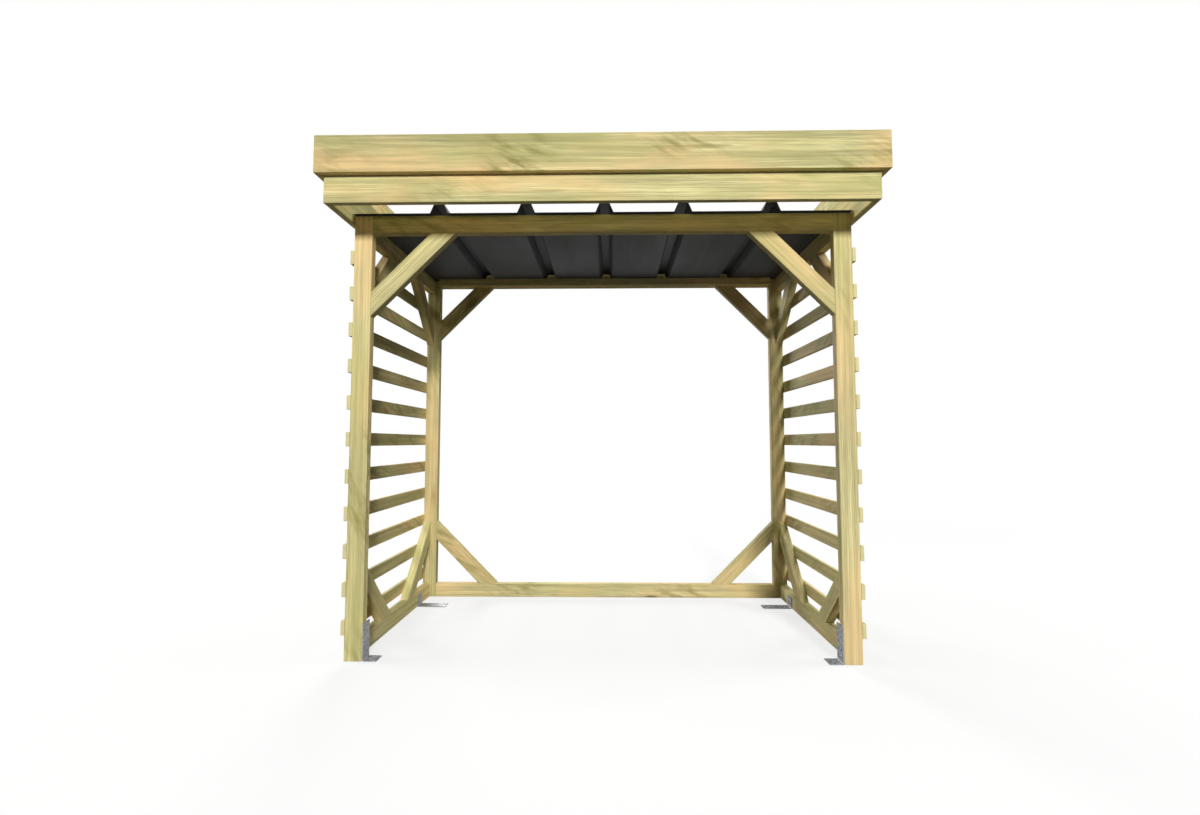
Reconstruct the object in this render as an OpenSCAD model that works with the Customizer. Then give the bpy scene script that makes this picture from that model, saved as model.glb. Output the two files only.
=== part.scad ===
// Open timber log store: a braced four-post frame with slatted sides,
// a profiled roof sheet and a two-tier fascia that stands up round it.
// +X runs along the front, +Y runs from the open front to the open back.
// The origin is on the ground, under the middle of the whole outline.

/* [Frame] */
// Width across the outer faces of the posts
frame_w = 2075; // [1600:5:2600]
// Depth across the outer faces of the posts
frame_d = 1000; // [900:5:1400]
// Height of the posts
frame_h = 1832; // [1600:2:2200]
// Wide side of the frame timber
timber_w = 75; // [60:1:100]
// Thin side of the frame timber
timber_t = 40; // [32:1:50]
// Width of the eased edge along every piece of timber
arris = 2; // [0.5:0.5:4]

/* [Braces] */
// Length along post or rail that a knee brace takes up
brace_leg = 352; // [260:2:400]
// The same length on the braces at the top of the back posts
back_brace_leg = 310; // [240:2:360]
// Width of a brace
brace_w = 74; // [50:1:90]

/* [Slats] */
// Slats on each side
slat_count = 11; // [6:1:11]
// Height of a slat
slat_h = 59; // [40:1:80]
// Thickness of a slat
slat_t = 16; // [10:1:22]
// Height of the lowest slat above the ground
slat_lift = 101; // [80:1:120]
// Clear height between the top slat and the fascia
slat_top_gap = 113; // [60:1:160]

/* [Fascia] */
// Height of a fascia board
fascia_h = 147; // [120:1:170]
// Thickness of a fascia board
fascia_t = 28; // [20:1:35]
// How far the lower boards hang below the top of the posts
fascia_drop = 34; // [25:1:60]
// How far the upper boards lap over the lower ones
fascia_lap = 40; // [25:1:60]
// Clear space between the front posts and the front fascia
front_overhang = 184; // [120:2:260]

/* [Roof sheet] */
// Thickness of the sheet metal
sheet_t = 1; // [0.6:0.1:1.5]
// Height of a rib
rib_h = 42; // [25:1:50]
// Width of a rib at its foot
rib_foot = 76; // [60:1:90]
// Width of a rib along its top
rib_top = 40; // [25:1:50]
// Distance between the middle ribs
rib_pitch = 326; // [280:2:360]
// Distance from an inner rib to the outer one
outer_rib_pitch = 364; // [280:2:380]
// How far the ribs are set to the right of the middle
rib_shift = 14; // [0:1:30]
// How far the sheet reaches forward of the front beam
sheet_overhang = 22; // [5:1:60]
// Gap between the edges of the sheet and the boards round it
sheet_gap = 2; // [1:0.5:5]

/* [Foot brackets] */
// Long leg of a bracket
bracket_long = 150; // [120:1:170]
// Short leg of a bracket
bracket_short = 58; // [50:1:70]
// Width of a bracket
bracket_w = 60; // [50:1:75]
// Thickness of the bracket plate
bracket_t = 4; // [2:0.5:5]
// Outside radius of the bend
bracket_bend = 9; // [6:0.5:12]
// Diameter of the fixing holes
bracket_hole = 8; // [5:0.5:11]
// Distance from the corner to the first row of holes
bracket_hole_start = 28; // [22:1:32]
// Distance from one row of holes to the next
bracket_hole_pitch = 25; // [20:1:30]
// Distance between the two columns of holes
bracket_hole_gauge = 30; // [20:1:36]
// Least distance from a row of holes to the end of its leg
bracket_hole_margin = 15; // [10:1:18]
// Clear length between a back bracket and the back post
back_bracket_gap = 145; // [100:5:250]

/* [Hidden] */
$fn = 48;
half_w = frame_w / 2;
post_in = half_w - timber_w;
rail_top = timber_w;
top_rail_foot = frame_h - timber_w;
back_beam_foot = frame_h - timber_t;

lower_out = half_w + fascia_t;
upper_out = lower_out + fascia_t;
lower_foot = frame_h - fascia_drop;
upper_foot = lower_foot + fascia_h - fascia_lap;
slat_pitch = (lower_foot - slat_top_gap - slat_h - slat_lift) / (slat_count - 1);

// Depths, with the middle of the whole outline at zero
outline_d = frame_d + front_overhang + 4 * fascia_t;
outline_front = -outline_d / 2;
post_front = outline_front + 2 * fascia_t + front_overhang;
post_back = post_front + frame_d;
bay_front = post_front + timber_t;
bay_back = post_back - timber_t;

wood = "#d5c48e";
fascia_wood = "#cdbf8a";
sheet_colour = "#26282b";
zinc = "#b4b8bb";

// Section of a piece of timber with its long edges eased
module eased(w, h) {
    polygon([
        [arris, 0], [w - arris, 0], [w, arris], [w, h - arris],
        [w - arris, h], [arris, h], [0, h - arris], [0, arris]
    ]);
}

// Timber between two corners, running along X, Y or Z
module timber_x(low, high) {
    size = high - low;
    translate(low) rotate([90, 0, 90]) linear_extrude(size.x) eased(size.y, size.z);
}

module timber_y(low, high) {
    size = high - low;
    translate([low.x, high.y, low.z]) rotate([90, 0, 0]) linear_extrude(size.y) eased(size.x, size.z);
}

module timber_z(low, high) {
    size = high - low;
    translate(low) linear_extrude(size.z) eased(size.x, size.y);
}

// Repeats a left-hand piece on the right
module right_hand() {
    mirror([1, 0, 0]) children();
}

// A knee brace in a corner at zero, flat in X and Z, as thick as the timber in Y:
// a length of timber laid across the corner at 45 degrees and cut off by its two faces
module knee(leg) {
    intersection() {
        translate([leg, 0, 0])
            rotate([0, -135, 0])
                timber_x([-brace_w, 0, 0], [leg * sqrt(2) + brace_w, timber_t, brace_w]);
        cube([leg, timber_t, leg]);
    }
}

// A knee brace turned into a side wall, running back from a front post
module side_knee(leg) {
    translate([timber_t, 0, 0]) rotate([0, 0, 90]) knee(leg);
}

module post_left(front) {
    color(wood) timber_z([-half_w, front, 0], [-post_in, front + timber_t, frame_h]);
}

module front_post_left() {
    post_left(post_front);
}

module front_post_right() {
    right_hand() front_post_left();
}

module back_post_left() {
    post_left(bay_back);
}

module back_post_right() {
    right_hand() back_post_left();
}

module front_beam() {
    color(wood) timber_x([-post_in, post_front, top_rail_foot], [post_in, bay_front, frame_h]);
}

// The back beam lies flat, level with the tops of the posts
module back_beam() {
    color(wood)
        timber_x([-post_in, post_back - timber_w, back_beam_foot], [post_in, post_back, frame_h]);
}

module side_rail_left(foot) {
    color(wood)
        timber_y([-half_w, bay_front, foot], [timber_t - half_w, bay_back, foot + timber_w]);
}

module side_top_rail_left() {
    side_rail_left(top_rail_foot);
}

module side_top_rail_right() {
    right_hand() side_top_rail_left();
}

module side_bottom_rail_left() {
    side_rail_left(0);
}

module side_bottom_rail_right() {
    right_hand() side_bottom_rail_left();
}

module back_bottom_rail() {
    color(wood) timber_x([-post_in, bay_back, 0], [post_in, post_back, rail_top]);
}

module front_brace_left() {
    color(wood) translate([-post_in, post_front, top_rail_foot]) mirror([0, 0, 1]) knee(brace_leg);
}

module front_brace_right() {
    right_hand() front_brace_left();
}

module back_top_brace_left() {
    color(wood) translate([-post_in, bay_back, back_beam_foot]) mirror([0, 0, 1]) knee(back_brace_leg);
}

module back_top_brace_right() {
    right_hand() back_top_brace_left();
}

module back_bottom_brace_left() {
    color(wood) translate([-post_in, bay_back, rail_top]) knee(brace_leg);
}

module back_bottom_brace_right() {
    right_hand() back_bottom_brace_left();
}

module side_front_top_brace_left() {
    color(wood) translate([-half_w, bay_front, top_rail_foot]) mirror([0, 0, 1]) side_knee(brace_leg);
}

module side_front_top_brace_right() {
    right_hand() side_front_top_brace_left();
}

module side_back_top_brace_left() {
    color(wood)
        translate([-half_w, bay_back, top_rail_foot])
            mirror([0, 0, 1]) mirror([0, 1, 0]) side_knee(back_brace_leg);
}

module side_back_top_brace_right() {
    right_hand() side_back_top_brace_left();
}

module side_front_bottom_brace_left() {
    color(wood) translate([-half_w, bay_front, rail_top]) side_knee(brace_leg);
}

module side_front_bottom_brace_right() {
    right_hand() side_front_bottom_brace_left();
}

module side_back_bottom_brace_left() {
    color(wood) translate([-half_w, bay_back, rail_top]) mirror([0, 1, 0]) side_knee(brace_leg);
}

module side_back_bottom_brace_right() {
    right_hand() side_back_bottom_brace_left();
}

// Slats run the whole depth on the outer faces of the posts
module side_slats_left() {
    color(wood)
        for (foot = [for (i = [0 : slat_count - 1]) slat_lift + i * slat_pitch])
            timber_y([-half_w - slat_t, post_front, foot], [-half_w, post_back, foot + slat_h]);
}

module side_slats_right() {
    right_hand() side_slats_left();
}

// The lower tier is fixed to the posts at the sides and back, and reaches out in front
module lower_fascia_front() {
    color(fascia_wood)
        timber_x([-lower_out, outline_front + fascia_t, lower_foot],
                 [lower_out, outline_front + 2 * fascia_t, lower_foot + fascia_h]);
}

module lower_fascia_back() {
    color(fascia_wood)
        timber_x([-lower_out, post_back, lower_foot],
                 [lower_out, post_back + fascia_t, lower_foot + fascia_h]);
}

module lower_fascia_left() {
    color(fascia_wood)
        timber_y([-lower_out, outline_front + 2 * fascia_t, lower_foot],
                 [-half_w, post_back, lower_foot + fascia_h]);
}

module lower_fascia_right() {
    right_hand() lower_fascia_left();
}

// The upper tier is fixed round the outside of the lower one
module upper_fascia_front() {
    color(fascia_wood)
        timber_x([-upper_out, outline_front, upper_foot],
                 [upper_out, outline_front + fascia_t, upper_foot + fascia_h]);
}

module upper_fascia_back() {
    color(fascia_wood)
        timber_x([-upper_out, post_back + fascia_t, upper_foot],
                 [upper_out, post_back + 2 * fascia_t, upper_foot + fascia_h]);
}

module upper_fascia_left() {
    color(fascia_wood)
        timber_y([-upper_out, outline_front + fascia_t, upper_foot],
                 [-lower_out, post_back + fascia_t, upper_foot + fascia_h]);
}

module upper_fascia_right() {
    right_hand() upper_fascia_left();
}

// Half width of a rib, measured to the outside of the sheet, at a height above the pans
function rib_half(z) = rib_foot / 2 - (rib_foot - rib_top) / 2 * z / rib_h;

// Section of the sheet: flat pans with hollow ribs folded up out of them
module sheet_section(ribs) {
    edge = half_w - sheet_gap;
    flank = atan2(rib_h, (rib_foot - rib_top) / 2);
    wall = sheet_t / sin(flank);
    crown = rib_h - sheet_t;
    upper = [for (x = ribs) each [
        [x - rib_half(sheet_t), sheet_t], [x - rib_half(rib_h), rib_h],
        [x + rib_half(rib_h), rib_h], [x + rib_half(sheet_t), sheet_t]
    ]];
    lower = [for (i = [len(ribs) - 1 : -1 : 0]) each [
        [ribs[i] + rib_half(0) - wall, 0], [ribs[i] + rib_half(crown) - wall, crown],
        [ribs[i] - rib_half(crown) + wall, crown], [ribs[i] - rib_half(0) + wall, 0]
    ]];
    polygon(concat([[-edge, 0], [-edge, sheet_t]], upper, [[edge, sheet_t], [edge, 0]], lower));
}

module roof_sheet() {
    outer = rib_pitch + outer_rib_pitch;
    length = frame_d + sheet_overhang - sheet_gap;
    color(sheet_colour)
        translate([0, post_front - sheet_overhang + length, frame_h])
            rotate([90, 0, 0])
                linear_extrude(length)
                    sheet_section([for (x = [-outer, -rib_pitch, 0, rib_pitch, outer]) x + rib_shift]);
}

// Section of a bracket: two legs and the round bend between them
module bracket_section(flat, upright) {
    inside = bracket_bend - bracket_t;
    bend = [for (turn = [180 : 15 : 270]) [cos(turn), sin(turn)]];
    centre = [bracket_bend, bracket_bend];
    polygon(concat(
        [[bracket_t, upright], [0, upright]],
        [for (way = bend) centre + bracket_bend * way],
        [[flat, 0], [flat, bracket_t]],
        [for (i = [len(bend) - 1 : -1 : 0]) centre + inside * bend[i]]
    ));
}

// Fixing holes through the flat leg: two columns, with as many rows as fit
module bracket_holes(reach) {
    last = reach - bracket_hole_margin;
    for (x = [bracket_hole_start : bracket_hole_pitch : last])
        for (side = [-1, 1])
            translate([x, bracket_w / 2 + side * bracket_hole_gauge / 2, -bracket_t])
                cylinder(h = 3 * bracket_t, d = bracket_hole);
}

// An angle bracket in a corner at zero, with one leg flat and one upright
module foot_bracket(flat, upright) {
    color(zinc)
        difference() {
            translate([0, bracket_w, 0])
                rotate([90, 0, 0])
                    linear_extrude(bracket_w) bracket_section(flat, upright);
            bracket_holes(flat);
            mirror([1, 0, -1]) bracket_holes(upright);
        }
}

module foot_bracket_front_left() {
    translate([-post_in, post_front, 0]) foot_bracket(bracket_short, bracket_long);
}

module foot_bracket_front_right() {
    right_hand() foot_bracket_front_left();
}

module foot_bracket_back_left() {
    translate([timber_t - half_w, bay_back - back_bracket_gap - bracket_w, 0])
        foot_bracket(bracket_long, bracket_short);
}

module foot_bracket_back_right() {
    right_hand() foot_bracket_back_left();
}

front_post_left();
front_post_right();
back_post_left();
back_post_right();
front_beam();
back_beam();
side_top_rail_left();
side_top_rail_right();
side_bottom_rail_left();
side_bottom_rail_right();
back_bottom_rail();
front_brace_left();
front_brace_right();
back_top_brace_left();
back_top_brace_right();
back_bottom_brace_left();
back_bottom_brace_right();
side_front_top_brace_left();
side_front_top_brace_right();
side_back_top_brace_left();
side_back_top_brace_right();
side_front_bottom_brace_left();
side_front_bottom_brace_right();
side_back_bottom_brace_left();
side_back_bottom_brace_right();
side_slats_left();
side_slats_right();
lower_fascia_front();
lower_fascia_back();
lower_fascia_left();
lower_fascia_right();
upper_fascia_front();
upper_fascia_back();
upper_fascia_left();
upper_fascia_right();
roof_sheet();
foot_bracket_front_left();
foot_bracket_front_right();
foot_bracket_back_left();
foot_bracket_back_right();
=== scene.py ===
import math
import random
import bmesh
import bpy
from mathutils import Matrix, Vector


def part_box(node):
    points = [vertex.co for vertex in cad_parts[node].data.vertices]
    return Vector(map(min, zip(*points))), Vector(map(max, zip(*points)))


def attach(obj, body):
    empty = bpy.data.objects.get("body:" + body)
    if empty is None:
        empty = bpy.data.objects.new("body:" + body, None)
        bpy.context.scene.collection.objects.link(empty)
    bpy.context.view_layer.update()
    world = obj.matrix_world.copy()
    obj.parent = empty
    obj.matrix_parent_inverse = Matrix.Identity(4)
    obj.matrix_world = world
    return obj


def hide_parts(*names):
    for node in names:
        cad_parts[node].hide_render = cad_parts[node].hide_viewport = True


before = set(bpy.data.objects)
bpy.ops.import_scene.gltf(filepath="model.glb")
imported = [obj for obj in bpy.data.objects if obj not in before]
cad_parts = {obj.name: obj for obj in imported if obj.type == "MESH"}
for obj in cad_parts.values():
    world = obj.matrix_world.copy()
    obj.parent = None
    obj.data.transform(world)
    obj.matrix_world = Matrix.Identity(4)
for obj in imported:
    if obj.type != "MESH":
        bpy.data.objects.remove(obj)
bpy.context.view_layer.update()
random.seed(41)
scene = bpy.context.scene
scene.view_settings.view_transform = "Standard"
print("frame loaded,", len(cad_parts), "nodes")


# Short ways to add the nodes that the finishes share

def link(tree, source, target):
    tree.links.new(source, target)


def newMaterial(name):
    mat = bpy.data.materials.new(name)
    mat.use_nodes = True
    tree = mat.node_tree
    tree.nodes.clear()
    out = tree.nodes.new("ShaderNodeOutputMaterial")
    shader = tree.nodes.new("ShaderNodeBsdfPrincipled")
    link(tree, shader.outputs["BSDF"], out.inputs["Surface"])
    return mat, tree, shader


def objectPlace(tree):
    return tree.nodes.new("ShaderNodeTexCoord").outputs["Object"]


def attribute(tree, name, output):
    node = tree.nodes.new("ShaderNodeAttribute")
    node.attribute_name = name
    return node.outputs[output]


def mapped(tree, vector, scale=(1.0, 1.0, 1.0), turn=(0.0, 0.0, 0.0)):
    node = tree.nodes.new("ShaderNodeMapping")
    node.inputs["Scale"].default_value = scale
    node.inputs["Rotation"].default_value = turn
    link(tree, vector, node.inputs["Vector"])
    return node.outputs["Vector"]


def setScale(tree, node, vector, scale):
    if isinstance(scale, tuple):                           # three numbers stretch the pattern
        vector = mapped(tree, vector, scale)
        scale = 1.0
    node.inputs["Scale"].default_value = scale
    link(tree, vector, node.inputs["Vector"])


def noise(tree, vector, scale, detail, rough):
    node = tree.nodes.new("ShaderNodeTexNoise")
    node.inputs["Detail"].default_value = detail
    node.inputs["Roughness"].default_value = rough
    setScale(tree, node, vector, scale)
    return node.outputs["Fac"]


# The distance to the nearest cell's middle, and a number of each cell's own
def cells(tree, vector, scale):
    node = tree.nodes.new("ShaderNodeTexVoronoi")
    setScale(tree, node, vector, scale)
    split = tree.nodes.new("ShaderNodeSeparateColor")
    link(tree, node.outputs["Color"], split.inputs["Color"])
    return node.outputs["Distance"], split.outputs["Red"]


# Each stop is a place and a grey or a colour
def ramp(tree, value, stops):
    node = tree.nodes.new("ShaderNodeValToRGB")
    bar = node.color_ramp
    while len(bar.elements) < len(stops):
        bar.elements.new(0.5)
    for element, (place, shade) in zip(bar.elements, stops):
        element.position = place
        element.color = (*shade, 1.0) if isinstance(shade, tuple) else (shade, shade, shade, 1.0)
    link(tree, value, node.inputs["Fac"])
    return node.outputs["Color"]


def maths(tree, how, a, b=None, c=None):
    node = tree.nodes.new("ShaderNodeMath")
    node.operation = how
    for socket, value in zip(node.inputs, (a, b, c)):
        if value is None:
            continue
        if isinstance(value, (int, float)):
            socket.default_value = value
        else:
            link(tree, value, socket)
    return node.outputs["Value"]


mixSocket = {"amount": 0, "first": 6, "second": 7, "result": 2}    # where the Mix node keeps its colours


def mixColour(tree, how, amount, first, second):
    node = tree.nodes.new("ShaderNodeMix")
    node.data_type = "RGBA"
    node.blend_type = how
    for name, value in (("amount", amount), ("first", first), ("second", second)):
        socket = node.inputs[mixSocket[name]]
        if isinstance(value, (int, float)):
            socket.default_value = value
        elif isinstance(value, tuple):
            socket.default_value = (*value, 1.0)
        else:
            link(tree, value, socket)
    return node.outputs[mixSocket["result"]]


def bump(tree, shader, height, strength, depth):
    node = tree.nodes.new("ShaderNodeBump")
    node.inputs["Strength"].default_value = strength
    node.inputs["Distance"].default_value = depth
    link(tree, height, node.inputs["Height"])
    link(tree, node.outputs["Normal"], shader.inputs["Normal"])


# Pressure-treated softwood, cut from a solid block of grain: the grain attribute holds metres
# along the board, across it and through it, set off by each board's place in its log

timberNoise = {                                            # scale on each axis, detail, roughness
    "wander": ((0.8, 5.0, 5.0), 2.0, 0.45),                # slow bends of the log
    "sway": ((2.6, 16.0, 16.0), 2.0, 0.5),                 # and quicker ones
    "band": ((0.7, 24.0, 24.0), 3.0, 0.55),
    "streak": ((1.5, 74.0, 74.0), 3.0, 0.58),
    "fibre": ((9.0, 480.0, 480.0), 3.0, 0.62),
    "patch": ((1.7, 4.5, 4.5), 3.0, 0.5),                  # where the wood stayed dry and warm
    "cloud": ((1.3, 9.0, 9.0), 4.0, 0.58),                 # where the treatment soaked in green
    "smear": ((5.5, 30.0, 30.0), 3.0, 0.6),                # dark smears aslant the board
    "where": ((1.9, 3.0, 3.0), 1.0, 0.4),                  # and the places that have them
    "seam": ((0.16, 36.0, 36.0), 1.0, 0.4),                # drying checks follow its middle value
    "dry": ((2.4, 7.0, 7.0), 1.0, 0.4),                    # and open only here
    "teeth": ((190.0, 9.0, 9.0), 2.0, 0.5),                # marks of the saw
}
timberShade = {                                            # place and shade of each stop
    "ring": ((0.0, 0.0), (0.55, 0.28), (0.88, 1.0), (1.0, 0.0)),
    "endRing": ((0.0, 1.0), (0.60, 0.92), (0.90, 0.66), (1.0, 1.0)),
    "band": ((0.36, 0.74), (0.64, 1.12)),
    "streak": ((0.32, 0.68), (0.66, 1.14)),
    "fibre": ((0.34, 0.68), (0.60, 1.14)),
    "patch": ((0.45, 0.0), (0.62, 0.85)),
    "cloud": ((0.46, 0.0), (0.66, 0.78)),
    "smear": ((0.44, 0.0), (0.66, 0.80)),
    "where": ((0.51, 0.0), (0.64, 1.0)),
    "seam": ((0.0015, 1.0), (0.006, 0.0)),
    "dry": ((0.55, 0.0), (0.62, 0.8)),
    "tone": ((0.0, 0.84), (1.0, 1.08)),
    "knotPush": ((0.0, 1.0), (0.32, 0.0)),
    "knotHalo": ((0.05, 0.55), (0.20, 0.0)),
    "knotCore": ((0.045, 1.0), (0.09, 0.0)),
    "roughness": ((0.25, 0.88), (0.75, 0.68)),
}
timberMix = {"ring": 0.66, "band": 0.80, "streak": 0.70, "fibre": 0.75, "patch": 0.6, "cloud": 0.7,
             "knotCore": 0.85, "end": 0.8, "endRing": 0.8}
timberRings = {"perMetre": 140.0, "wander": 0.050, "sway": 0.009, "knotPush": 0.020}
timberKnots = {"spacing": (2.1, 8.0, 8.0), "rarity": 0.72,
               "halo": (0.34, 0.22, 0.075), "core": (0.13, 0.07, 0.028)}
timberMarks = {"smearTurn": (0.35, 0.0, 0.42), "seamMiddle": 0.5, "check": (0.20, 0.15, 0.06)}
timberRelief = {"fibre": 0.55, "ring": 0.22, "streak": 0.30, "knot": -0.5, "check": -0.8,
                "strength": 0.6, "depth": 0.0012, "specular": 0.25}


def grainNoise(tree, vector, name):
    return noise(tree, vector, *timberNoise[name])


def shaded(tree, value, name):
    return ramp(tree, value, timberShade[name])


def shadedNoise(tree, vector, name):
    return shaded(tree, grainNoise(tree, vector, name), name)


# How far each point lay from the heart of its log, which bends a little on its way
def heartDistance(tree, grain):
    split = tree.nodes.new("ShaderNodeSeparateXYZ")
    link(tree, grain, split.inputs["Vector"])
    across = maths(tree, "MULTIPLY", split.outputs["Y"], split.outputs["Y"])
    through = maths(tree, "MULTIPLY", split.outputs["Z"], split.outputs["Z"])
    far = maths(tree, "SQRT", maths(tree, "ADD", across, through))
    for bend in ("wander", "sway"):
        far = maths(tree, "MULTIPLY_ADD", grainNoise(tree, grain, bend), timberRings[bend], far)
    return far


def makeTimber(name, pale, late, green, amber, stain, sawnEnd, sawn):
    mat, tree, shader = newMaterial(name)
    grain = attribute(tree, "grain", "Vector")
    tone = attribute(tree, "tone", "Fac")
    end = attribute(tree, "endGrain", "Fac")

    # growth rings, pushed aside by knots
    near, pick = cells(tree, grain, timberKnots["spacing"])
    isKnot = maths(tree, "GREATER_THAN", pick, timberKnots["rarity"])
    knot = {}
    for part in ("knotPush", "knotHalo", "knotCore"):
        knot[part] = maths(tree, "MULTIPLY", shaded(tree, near, part), isKnot)
    far = maths(tree, "MULTIPLY_ADD", knot["knotPush"], timberRings["knotPush"], heartDistance(tree, grain))
    rings = maths(tree, "FRACT", maths(tree, "MULTIPLY", far, timberRings["perMetre"]))
    ringTone = shaded(tree, rings, "ring")
    colour = mixColour(tree, "MIX", maths(tree, "MULTIPLY", ringTone, timberMix["ring"]), pale, late)

    # broad bands, streaks and fine fibre along the board
    lines = {part: grainNoise(tree, grain, part) for part in ("band", "streak", "fibre")}
    lineTone = {part: shaded(tree, value, part) for part, value in lines.items()}
    for part, value in lineTone.items():
        colour = mixColour(tree, "MULTIPLY", timberMix[part], colour, value)

    # treatment that soaked in unevenly: warm dry patches, green clouds and slanting smears
    for part, tint in (("patch", amber), ("cloud", green)):
        tinted = mixColour(tree, "MULTIPLY", timberMix[part], tint, lineTone["streak"])
        colour = mixColour(tree, "MIX", shadedNoise(tree, grain, part), colour, tinted)
    slant = mapped(tree, grain, turn=timberMarks["smearTurn"])
    smear = maths(tree, "MULTIPLY", shadedNoise(tree, slant, "smear"), shadedNoise(tree, grain, "where"))
    colour = mixColour(tree, "MIX", smear, colour, stain)

    # thin drying checks open along the grain here and there
    seam = grainNoise(tree, grain, "seam")
    gap = maths(tree, "ABSOLUTE", maths(tree, "SUBTRACT", seam, timberMarks["seamMiddle"]))
    check = maths(tree, "MULTIPLY", shaded(tree, gap, "seam"), shadedNoise(tree, grain, "dry"))
    colour = mixColour(tree, "MIX", check, colour, timberMarks["check"])

    # how light the whole board is, then its knots and sawn ends
    colour = mixColour(tree, "MULTIPLY", 1.0, colour, shaded(tree, tone, "tone"))
    colour = mixColour(tree, "MIX", knot["knotHalo"], colour, timberKnots["halo"])
    core = maths(tree, "MULTIPLY", knot["knotCore"], timberMix["knotCore"])
    colour = mixColour(tree, "MIX", core, colour, timberKnots["core"])
    endShade = mixColour(tree, "MULTIPLY", timberMix["endRing"], sawnEnd, shaded(tree, rings, "endRing"))
    colour = mixColour(tree, "MIX", maths(tree, "MULTIPLY", end, timberMix["end"]), colour, endShade)
    link(tree, colour, shader.inputs["Base Color"])
    link(tree, shaded(tree, lines["fibre"], "roughness"), shader.inputs["Roughness"])
    shader.inputs["Specular IOR Level"].default_value = timberRelief["specular"]

    # saw marks cross the board every few millimetres, and finer fibre lies over them
    height = maths(tree, "MULTIPLY", lines["fibre"], timberRelief["fibre"])
    height = maths(tree, "MULTIPLY_ADD", grainNoise(tree, grain, "teeth"), sawn, height)
    raised = {"ring": ringTone, "streak": lines["streak"], "knot": knot["knotCore"], "check": check}
    for part, value in raised.items():
        height = maths(tree, "MULTIPLY_ADD", value, timberRelief[part], height)
    bump(tree, shader, height, timberRelief["strength"], timberRelief["depth"])
    return mat


timberLook = {
    "frame": {"pale": (0.82, 0.73, 0.37), "late": (0.50, 0.43, 0.165), "green": (0.55, 0.51, 0.20),
              "amber": (0.88, 0.65, 0.31), "stain": (0.32, 0.285, 0.085),
              "sawnEnd": (0.58, 0.49, 0.22), "sawn": 0.45},
    "slat": {"pale": (0.76, 0.67, 0.32), "late": (0.48, 0.41, 0.16), "green": (0.53, 0.49, 0.19),
             "amber": (0.81, 0.60, 0.27), "stain": (0.30, 0.265, 0.08),
             "sawnEnd": (0.82, 0.76, 0.42), "sawn": 0.60},
    "fascia": {"pale": (0.81, 0.74, 0.37), "late": (0.50, 0.44, 0.165), "green": (0.50, 0.475, 0.185),
               "amber": (0.93, 0.66, 0.31), "stain": (0.265, 0.25, 0.06),
               "sawnEnd": (0.60, 0.52, 0.24), "sawn": 0.22},
}
timberMats = {kind: makeTimber(kind + "Timber", **look) for kind, look in timberLook.items()}


# Satin coating of the roof sheet, with dust on it and dull runs along the ribs

roofLook = {"grit": (900.0, 2.0, 0.6),                     # scale, detail, roughness
            "dust": ((5.0, 1.4, 5.0), 4.0, 0.6), "runs": ((42.0, 1.6, 20.0), 3.0, 0.55),
            "coat": ((0.3, (0.028, 0.030, 0.033)), (0.75, (0.052, 0.054, 0.056))),
            "runShade": ((0.48, 0.0), (0.80, 0.22)), "runColour": (0.115, 0.112, 0.102),
            "roughness": ((0.3, 0.56), (0.75, 0.72)), "specular": 0.22, "relief": 0.18, "depth": 0.0004}


def makeRoofCoating():
    mat, tree, shader = newMaterial("roofCoating")
    place = objectPlace(tree)
    grit = noise(tree, place, *roofLook["grit"])
    dust = noise(tree, place, *roofLook["dust"])
    runs = noise(tree, place, *roofLook["runs"])
    veil = ramp(tree, runs, roofLook["runShade"])
    colour = mixColour(tree, "MIX", veil, ramp(tree, dust, roofLook["coat"]), roofLook["runColour"])
    link(tree, colour, shader.inputs["Base Color"])
    link(tree, ramp(tree, dust, roofLook["roughness"]), shader.inputs["Roughness"])
    shader.inputs["Specular IOR Level"].default_value = roofLook["specular"]
    bump(tree, shader, grit, roofLook["relief"], roofLook["depth"])
    return mat


# Galvanised plate: spangles of several greys under a milky bloom

zincLook = {"spangle": 170.0, "flake": ((0.0, (0.17, 0.18, 0.19)), (1.0, (0.40, 0.41, 0.42))),
            "bloom": (38.0, 4.0, 0.6),                     # scale, detail, roughness
            "milkShade": ((0.50, 0.0), (0.75, 0.6)), "milk": (0.36, 0.365, 0.36),
            "roughness": ((0.0, 0.50), (1.0, 0.70)), "metallic": 0.65, "specular": 0.2,
            "bloomRelief": 0.5, "relief": 0.10, "depth": 0.0004}


def makeZinc():
    mat, tree, shader = newMaterial("galvanisedZinc")
    place = objectPlace(tree)
    flake = cells(tree, place, zincLook["spangle"])[1]
    bloom = noise(tree, place, *zincLook["bloom"])
    milky = ramp(tree, bloom, zincLook["milkShade"])
    colour = mixColour(tree, "MIX", milky, ramp(tree, flake, zincLook["flake"]), zincLook["milk"])
    link(tree, colour, shader.inputs["Base Color"])
    link(tree, ramp(tree, flake, zincLook["roughness"]), shader.inputs["Roughness"])
    shader.inputs["Metallic"].default_value = zincLook["metallic"]
    shader.inputs["Specular IOR Level"].default_value = zincLook["specular"]
    height = maths(tree, "MULTIPLY_ADD", bloom, zincLook["bloomRelief"], flake)
    bump(tree, shader, height, zincLook["relief"], zincLook["depth"])
    return mat


# Passivated screws and the rubber under the roof ones are mottled in the same way

screwLook = {"mottle": (140.0, 3.0, 0.6),                  # scale, detail, roughness
             "colour": ((0.3, (0.50, 0.42, 0.25)), (0.7, (0.62, 0.57, 0.44))),
             "roughness": ((0.3, 0.34), (0.7, 0.50)), "metallic": 1.0, "relief": 0.1, "depth": 0.0003}
rubberLook = {"mottle": (260.0, 3.0, 0.6), "colour": ((0.3, 0.018), (0.7, 0.034)),
              "roughness": ((0.3, 0.70), (0.7, 0.84)), "metallic": 0.0, "relief": 0.2, "depth": 0.0003}


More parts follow.
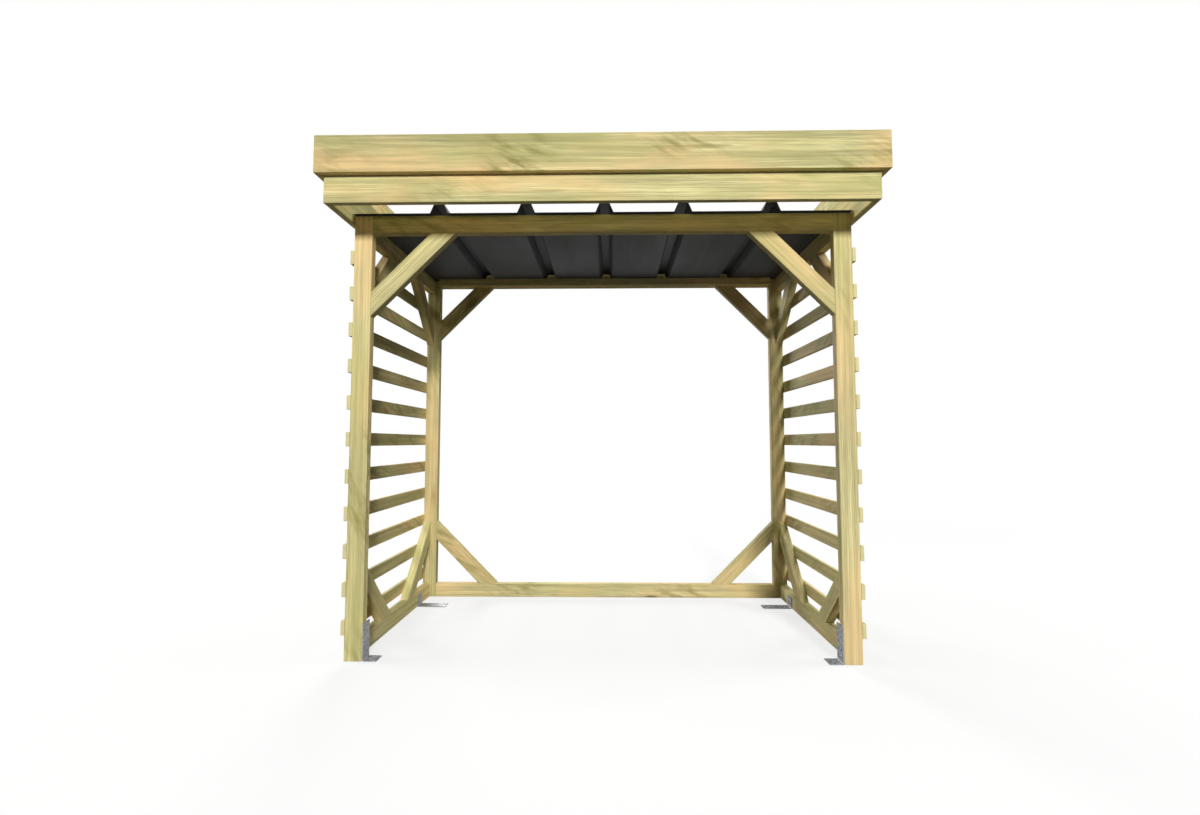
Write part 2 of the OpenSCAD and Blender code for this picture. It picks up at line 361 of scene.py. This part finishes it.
def makeMottled(name, look):
    mat, tree, shader = newMaterial(name)
    mottle = noise(tree, objectPlace(tree), *look["mottle"])
    link(tree, ramp(tree, mottle, look["colour"]), shader.inputs["Base Color"])
    link(tree, ramp(tree, mottle, look["roughness"]), shader.inputs["Roughness"])
    shader.inputs["Metallic"].default_value = look["metallic"]
    bump(tree, shader, mottle, look["relief"], look["depth"])
    return mat


roofCoating = makeRoofCoating()
zinc = makeZinc()
screwSteel = makeMottled("screwSteel", screwLook)
sealRubber = makeMottled("sealRubber", rubberLook)
print("materials made")


# Boards: each is a bar with eased edges, a slight bow and its own place in the log

boardWork = {"ease": 0.0022, "easeSteps": 2, "sharpAngle": 30.0, "spacing": 0.11,
             "snap": 0.00001,                              # a point this near a mitre is on it
             "bow": 0.0007, "ripple": 0.00035, "rippleRate": 9.0}
logWork = {"heartNear": 0.035, "heartFar": 0.10, "length": 60.0, "darkest": 0.25, "lightest": 0.95,
           "endSlope": 0.5}


def wholeOf(bm):
    return bm.verts[:] + bm.edges[:] + bm.faces[:]


def freshBoard(size):
    bm = bmesh.new()
    bmesh.ops.create_cube(bm, size=1.0)
    bmesh.ops.scale(bm, verts=bm.verts, vec=size)
    return bm


# Cuts across the board, so that it can bow
def cutAcross(bm, length):
    steps = max(2, round(length / boardWork["spacing"]))
    for i in range(1, steps):
        at = -length / 2 + length * i / steps
        bmesh.ops.bisect_plane(bm, geom=wholeOf(bm), plane_co=(at, 0, 0), plane_no=(1, 0, 0))


# Ends cut at 45 degrees: the long edge of the board is at +Y
def mitreEnds(bm, size):
    for way in (-1, 1):
        corner = (way * size[0] / 2, size[1] / 2, 0)
        cut = bmesh.ops.bisect_plane(bm, geom=wholeOf(bm), dist=boardWork["snap"], plane_co=corner,
                                     plane_no=(way, -1, 0), clear_outer=True)
        rim = [e for e in cut["geom_cut"] if isinstance(e, bmesh.types.BMEdge)]
        bmesh.ops.contextual_create(bm, geom=rim)


def easeEdges(bm):
    sharp = [e for e in bm.edges if e.calc_face_angle(0.0) > math.radians(boardWork["sharpAngle"])]
    bmesh.ops.bevel(bm, geom=sharp, offset=boardWork["ease"], offset_type="OFFSET", affect="EDGES",
                    segments=boardWork["easeSteps"], profile=0.5, material=-1)


# Writes where each point lay in the log, how light the board is and which faces are end grain
def markGrain(bm):
    bm.normal_update()
    grain = bm.verts.layers.float_vector.new("grain")
    tone = bm.verts.layers.float.new("tone")
    end = bm.loops.layers.float_color.new("endGrain")
    reach = random.uniform(logWork["heartNear"], logWork["heartFar"])
    turn = random.uniform(0, 2 * math.pi)
    place = Vector((random.uniform(0, logWork["length"]), reach * math.cos(turn), reach * math.sin(turn)))
    lightness = random.uniform(logWork["darkest"], logWork["lightest"])
    for v in bm.verts:
        v[grain] = v.co + place
        v[tone] = lightness
    for f in bm.faces:
        cut = 1.0 if abs(f.normal.x) > logWork["endSlope"] else 0.0
        for corner in f.loops:
            corner[end] = (cut, cut, cut, 1.0)


# Bows the upper face and ripples the edges, always inwards and not at the ends
def bowBoard(bm, size):
    phase = random.uniform(0, 2 * math.pi)
    sideways = random.uniform(-1, 1) * boardWork["bow"]
    for v in bm.verts:
        along = v.co.x / size[0] + 0.5
        belly = math.sin(math.pi * min(1, max(0, along)))
        if v.co.z > 0:
            v.co.z -= belly * abs(sideways)
        wave = math.sin(boardWork["rippleRate"] * along + phase) * boardWork["ripple"] * belly
        v.co.y -= math.copysign(abs(wave), v.co.y)


def makeBoard(size, mitred=False):
    bm = freshBoard(size)
    if mitred:
        mitreEnds(bm, size)
    cutAcross(bm, size[0])
    easeEdges(bm)
    markGrain(bm)
    bowBoard(bm, size)
    return bm


# Lays a board, made with its length on X, width on Y and thickness on Z, in its place
def layBoard(bm, centre, along, across):
    turn = Matrix((along, across, along.cross(across))).transposed().to_4x4()
    bmesh.ops.transform(bm, matrix=Matrix.Translation(centre) @ turn, verts=bm.verts)


def boxBoard(low, high):
    size = high - low
    order = sorted(range(3), key=lambda axis: -size[axis])
    bm = makeBoard([size[axis] for axis in order])
    along, across = [Vector([1.0 if axis == k else 0.0 for k in range(3)]) for axis in order[:2]]
    layBoard(bm, (low + high) / 2, along, across)
    return bm


# Joins the parts of a piece, gives it its finish and fixes it to the store
def finishPiece(name, parts, mat, replaced=()):
    mesh = bpy.data.meshes.new(name)
    whole = bmesh.new()
    for bm in parts:
        loose = bpy.data.meshes.new("loose")
        bm.to_mesh(loose)
        whole.from_mesh(loose)
        bpy.data.meshes.remove(loose)
        bm.free()
    whole.to_mesh(mesh)
    whole.free()
    mesh.materials.append(mat)
    piece = bpy.data.objects.new(name, mesh)
    scene.collection.objects.link(piece)
    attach(piece, "root")
    if replaced:
        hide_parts(*replaced)


# The straight timbers take their boxes from the frame

straightTimbers = {
    "frame_timber": ("frame", ["front_post_left", "front_post_right", "back_post_left", "back_post_right",
                               "front_beam", "back_beam", "side_top_rail_left", "side_top_rail_right",
                               "side_bottom_rail_left", "side_bottom_rail_right", "back_bottom_rail"]),
    "fascia_timber": ("fascia", [tier + "_fascia_" + side for tier in ("lower", "upper")
                                 for side in ("front", "back", "left", "right")]),
}
for slotName, (kind, names) in straightTimbers.items():
    for name in names:
        finishPiece(name + "_board", [boxBoard(*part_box(name))], timberMats[kind], [name])
print("straight timbers laid")


# Knee braces: mitred boards across the corners, long edge to the outside

braceWork = {"width": 0.074}
bothSides = (("left", -1), ("right", 1))                   # the sides of the store and their signs in X
braceCorners = {}                                          # the corner each fills, along the wall and up
for side, sign in bothSides:
    braceCorners["front_brace_" + side] = (sign, 1)
    braceCorners["back_top_brace_" + side] = (sign, 1)
    braceCorners["back_bottom_brace_" + side] = (sign, -1)
    braceCorners["side_front_top_brace_" + side] = (-1, 1)
    braceCorners["side_back_top_brace_" + side] = (1, 1)
    braceCorners["side_front_bottom_brace_" + side] = (-1, -1)
    braceCorners["side_back_bottom_brace_" + side] = (1, -1)


# The axes that a brace is thin on and spans, the way that its long edge faces, and its middle
def braceLie(low, high, corner):
    size = high - low
    thin = 1 if size.y < size.x else 0
    span = 1 - thin
    outward = Vector((0, 0, -corner[1]))
    outward[span] = -corner[0]
    outward.normalize()
    middle = (low + high) / 2 - outward * braceWork["width"] / 2
    return thin, span, outward, middle


def braceBoard(low, high, corner):
    thin, span, outward, middle = braceLie(low, high, corner)
    size = high - low
    bm = makeBoard((size[span] * math.sqrt(2), braceWork["width"], size[thin]), mitred=True)
    along = Vector((0, 0, outward[span]))
    along[span] = -outward.z
    layBoard(bm, middle, along, outward)
    return bm


for name, corner in braceCorners.items():
    board = braceBoard(*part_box(name), corner)
    finishPiece(name + "_board", [board], timberMats["frame"], [name])
print("braces fitted")


# Side slats: the boards are spaced evenly over the height of their node

slatWork = {"count": 11, "height": 0.059}


def slatFeet(low, high):
    rise = (high.z - low.z - slatWork["height"]) / (slatWork["count"] - 1)
    return [low.z + i * rise for i in range(slatWork["count"])]


for side in ("left", "right"):
    node = "side_slats_" + side
    low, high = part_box(node)
    boards = []
    for foot in slatFeet(low, high):
        head = foot + slatWork["height"]
        boards.append(boxBoard(Vector((low.x, low.y, foot)), Vector((high.x, high.y, head))))
    finishPiece(node + "_boards", boards, timberMats["slat"], [node])
print("slats fixed")


# The roof sheet and brackets keep the frame's own shapes

def dressNode(name, mat):
    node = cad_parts[name]
    node.data.materials.clear()
    node.data.materials.append(mat)


bracketNames = ["foot_bracket_" + end + "_" + side for end in ("front", "back")
                for side in ("left", "right")]
dressNode("roof_sheet", roofCoating)
for name in bracketNames:
    dressNode(name, zinc)
print("sheet and brackets dressed")


# Screw heads: a low cone with a sunk round drive, standing a hair proud of the wood

screwWork = {"radius": 0.0040, "rise": 0.0009, "sunk": 0.0004, "taper": 0.72, "sides": 12,
             "topSlope": 0.9, "rim": 0.34, "recess": 0.0008}


def screwHead(place, normal, radius=screwWork["radius"], rise=screwWork["rise"]):
    bm = bmesh.new()
    bmesh.ops.create_cone(bm, cap_ends=True, segments=screwWork["sides"], radius1=radius,
                          radius2=radius * screwWork["taper"], depth=rise + screwWork["sunk"])
    bmesh.ops.translate(bm, verts=bm.verts, vec=(0, 0, (rise - screwWork["sunk"]) / 2))
    bm.normal_update()
    top = [f for f in bm.faces if f.normal.z > screwWork["topSlope"]]
    bmesh.ops.inset_region(bm, faces=top, thickness=radius * screwWork["rim"], depth=0.0)
    bmesh.ops.translate(bm, verts=top[0].verts, vec=(0, 0, -screwWork["recess"]))
    turn = Vector(normal).to_track_quat("Z", "Y").to_matrix().to_4x4()
    bmesh.ops.transform(bm, matrix=Matrix.Translation(place) @ turn, verts=bm.verts)
    return bm


def screwPiece(name, spots, slotName, mat=screwSteel, **sizes):
    heads = [screwHead(place, normal, **sizes) for place, normal in spots]
    finishPiece(name, heads, mat)


# Two screws through each slat into each post, one a little ahead of the other
slatScrews = {"spread": 0.017, "stagger": 0.004}
for side, sign in bothSides:
    low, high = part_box("side_slats_" + side)
    outside = low.x if sign < 0 else high.x
    spots = []
    for post in ("front_post_" + side, "back_post_" + side):
        postLow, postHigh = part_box(post)
        middle = (postLow.y + postHigh.y) / 2
        for foot in slatFeet(low, high):
            for way in (-1, 1):
                height = foot + slatWork["height"] / 2 + way * slatScrews["spread"]
                spots.append(((outside, middle + way * slatScrews["stagger"], height), (sign, 0, 0)))
    screwPiece("slat_screws_" + side, spots, "slat_timber")

# Two screws in each end of a brace, on its back face, or its inner face at the sides
braceScrews = {"fromEnd": 0.075, "spread": 0.018}
spots = []
for name, corner in braceCorners.items():
    low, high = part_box(name)
    size = high - low
    thin, span, outward, middle = braceLie(low, high, corner)
    face = Vector((0, 0, 0))
    face[thin] = -1.0 if thin == 0 and low.x > 0 else 1.0
    surface = middle + face * size[thin] / 2
    reach = outward.cross(face) * (size[span] / math.sqrt(2) - braceScrews["fromEnd"])
    for end in (-1, 1):
        for way in (-1, 1):
            spots.append((surface + reach * end + outward * way * braceScrews["spread"], face))
screwPiece("brace_screws", spots, "frame_timber")

# The two tiers of fascia are screwed together from the inside of the lower one
fasciaScrews = {"pitch": 0.42, "up": 0.127, "fromEnd": 0.08}
spots = []
for side in ("front", "back", "left", "right"):
    low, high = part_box("lower_fascia_" + side)
    run = 0 if side in ("front", "back") else 1
    thin = 1 - run
    face = Vector((0, 0, 0))
    face[thin] = 1.0 if side in ("front", "left") else -1.0
    reach = high[run] - low[run] - 2 * fasciaScrews["fromEnd"]
    count = max(2, round(reach / fasciaScrews["pitch"]) + 1)
    for i in range(count):
        spot = Vector((0, 0, low.z + fasciaScrews["up"]))
        spot[run] = low[run] + fasciaScrews["fromEnd"] + reach * i / (count - 1)
        spot[thin] = high[thin] if face[thin] > 0 else low[thin]
        spots.append((spot, face))
screwPiece("fascia_screws", spots, "fascia_timber")

# The back posts are screwed to the bottom rails, from behind and from the outside
postScrews = {"heights": (0.022, 0.053)}
spots = []
for side, sign in bothSides:
    low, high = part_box("back_post_" + side)
    railLow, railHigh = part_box("side_bottom_rail_" + side)
    outside = low.x if sign < 0 else high.x
    for height in postScrews["heights"]:
        spots.append((((railLow.x + railHigh.x) / 2, high.y, height), (0, 1, 0)))
        spots.append(((outside, (low.y + high.y) / 2, height), (sign, 0, 0)))
screwPiece("post_screws", spots, "frame_timber")

# Thicker heads in some holes of the brackets' upright legs
bracketWork = {"thick": 0.004, "start": 0.028, "pitch": 0.025, "gauge": 0.030,
               "frontRows": (0, 2, 4), "backRows": (0,), "head": {"radius": 0.0062, "rise": 0.0028}}
spots = []
for name in bracketNames:
    low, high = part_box(name)
    isFront = "front" in name
    sign = 1 if low.x < 0 else -1                          # the way the bracket faces
    plate = (low.x if sign > 0 else high.x) + sign * bracketWork["thick"]
    columns = (-1,) if isFront else (-1, 1)                # a front one's rear column hangs past the post
    for row in bracketWork["frontRows" if isFront else "backRows"]:
        height = bracketWork["start"] + row * bracketWork["pitch"]
        for column in columns:
            across = (low.y + high.y) / 2 + column * bracketWork["gauge"] / 2
            spots.append(((plate, across, height), (sign, 0, 0)))
screwPiece("bracket_screws", spots, "zinc_plate", zinc, **bracketWork["head"])


# Roof screws: a six-sided head on a flange over a rubber washer, down in the pans beside the ribs

roofScrews = {"washer": {"radius": 0.0085, "rise": 0.0022, "sides": 20, "taper": 0.92},
              "flange": {"radius": 0.0072, "rise": 0.0012, "sides": 20, "taper": 0.90},
              "head": {"radius": 0.0046, "rise": 0.0045, "sides": 6, "taper": 0.96}}
roofRibs = {"shift": 0.014, "pitch": 0.326, "outerPitch": 0.364, "foot": 0.076,
            "sheet": 0.001, "toScrew": 0.036}


def standing(foot, radius, rise, sides, taper):
    bm = bmesh.new()
    bmesh.ops.create_cone(bm, cap_ends=True, segments=sides, radius1=radius, radius2=radius * taper,
                          depth=rise)
    bmesh.ops.translate(bm, verts=bm.verts, vec=foot + Vector((0, 0, rise / 2)))
    return bm


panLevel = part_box("roof_sheet")[0].z + roofRibs["sheet"]
outerRib = roofRibs["pitch"] + roofRibs["outerPitch"]
aside = roofRibs["foot"] / 2 + roofRibs["toScrew"]
heads = []
washers = []
for beam in ("front_beam", "back_beam"):
    low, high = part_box(beam)
    for rib in (-outerRib, -roofRibs["pitch"], 0.0, roofRibs["pitch"], outerRib):
        for way in (-1, 1):
            foot = Vector((roofRibs["shift"] + rib + way * aside, (low.y + high.y) / 2, panLevel))
            for part, group in (("washer", washers), ("flange", heads), ("head", heads)):
                group.append(standing(foot, **roofScrews[part]))
                foot.z += roofScrews[part]["rise"]
finishPiece("roof_screw_heads", heads, roofCoating)
finishPiece("roof_screw_washers", washers, sealRubber)
print("screws driven")


# Camera where the photograph was taken from

view = {"place": (0.0382, -2.7205, 0.8821), "pitch": 0.0606, "yaw": 0.0186,
        "focalPixels": 565.6, "imageWidth": 1200, "sensor": 36.0}
lens = bpy.data.cameras.new("viewCamera")
lens.sensor_width = view["sensor"]
lens.lens = view["focalPixels"] / view["imageWidth"] * view["sensor"]
camera = bpy.data.objects.new("viewCamera", lens)
camera.location = view["place"]
camera.rotation_euler = (math.pi / 2 + view["pitch"], 0, view["yaw"])
scene.collection.objects.link(camera)
scene.camera = camera


# Pale floor that keeps the shadow near the store and fades to white, and a white surround

stage = {"size": 60.0, "drop": 0.0005, "floor": (0.80, 0.80, 0.79), "roughness": 0.9,
         "bounce": (0.055, 0.055, 0.054), "skyLight": 0.05,
         "whiteNear": 0.72, "fadeFrom": 1.2, "fadeTo": 5.5}


def seenRay(tree):
    path = tree.nodes.new("ShaderNodeLightPath")
    seen = maths(tree, "MAXIMUM", path.outputs["Is Camera Ray"], path.outputs["Is Glossy Ray"])
    return maths(tree, "MAXIMUM", seen, path.outputs["Is Transmission Ray"])


def mixShader(tree, amount, first, second):
    node = tree.nodes.new("ShaderNodeMixShader")
    for socket, source in zip(node.inputs, (amount, first, second)):
        link(tree, source, socket)
    return node.outputs["Shader"]


# White takes over from the lit floor with the distance from the store
def whiteShare(tree):
    distance = tree.nodes.new("ShaderNodeVectorMath")
    distance.operation = "LENGTH"
    link(tree, objectPlace(tree), distance.inputs[0])
    share = tree.nodes.new("ShaderNodeMapRange")
    share.inputs["From Min"].default_value = stage["fadeFrom"]
    share.inputs["From Max"].default_value = stage["fadeTo"]
    share.inputs["To Min"].default_value = stage["whiteNear"]
    share.inputs["To Max"].default_value = 1.0
    link(tree, distance.outputs["Value"], share.inputs["Value"])
    return share.outputs["Result"]


def makeFloorFinish():
    mat, tree, shader = newMaterial("paleFloor")
    shader.inputs["Base Color"].default_value = (*stage["floor"], 1.0)
    shader.inputs["Roughness"].default_value = stage["roughness"]
    bounce = tree.nodes.new("ShaderNodeBsdfDiffuse")       # what the floor throws back on the store
    bounce.inputs["Color"].default_value = (*stage["bounce"], 1.0)
    glow = tree.nodes.new("ShaderNodeEmission").outputs["Emission"]
    seen = mixShader(tree, whiteShare(tree), shader.outputs["BSDF"], glow)
    surface = mixShader(tree, seenRay(tree), bounce.outputs["BSDF"], seen)
    out = next(node for node in tree.nodes if node.type == "OUTPUT_MATERIAL")
    link(tree, surface, out.inputs["Surface"])
    return mat


def makeFloor():
    bm = bmesh.new()
    bmesh.ops.create_grid(bm, x_segments=1, y_segments=1, size=stage["size"])
    bmesh.ops.translate(bm, verts=bm.verts, vec=(0, 0, -stage["drop"]))
    mesh = bpy.data.meshes.new("floor")
    bm.to_mesh(mesh)
    bm.free()
    mesh.materials.append(makeFloorFinish())
    floor = bpy.data.objects.new("floor", mesh)
    scene.collection.objects.link(floor)


def makeSurround():
    world = bpy.data.worlds.new("surround")
    scene.world = world
    world.use_nodes = True
    tree = world.node_tree
    back = tree.nodes["Background"]
    back.inputs["Color"].default_value = (1.0, 1.0, 1.0, 1.0)
    strength = maths(tree, "MULTIPLY_ADD", seenRay(tree), 1.0 - stage["skyLight"], stage["skyLight"])
    link(tree, strength, back.inputs["Strength"])


makeFloor()
makeSurround()

# A low key from the front, as in the photograph, with weaker soft lamps round the sides and back
lamps = {
    "key": {"place": (2.3, -13.1, 5.3), "aim": (0.0, 0.0, 1.0), "size": 2.0, "watts": 1780.0},
    "left": {"place": (-5.7, 0.2, 4.4), "aim": (-1.0, 0.0, 1.0), "size": 2.4, "watts": 250.0},
    "right": {"place": (5.7, 0.2, 4.4), "aim": (1.0, 0.0, 1.0), "size": 2.4, "watts": 250.0},
    "back": {"place": (-2.0, 6.6, 3.8), "aim": (0.0, 0.5, 1.1), "size": 2.6, "watts": 360.0},
}
for name, lamp in lamps.items():
    light = bpy.data.lights.new(name, "AREA")
    light.size = lamp["size"]
    light.energy = lamp["watts"]
    holder = bpy.data.objects.new(name, light)
    holder.location = lamp["place"]
    aim = Vector(lamp["aim"]) - Vector(lamp["place"])
    holder.rotation_euler = aim.to_track_quat("-Z", "Y").to_euler()
    holder.visible_camera = False
    scene.collection.objects.link(holder)
print("stage set")
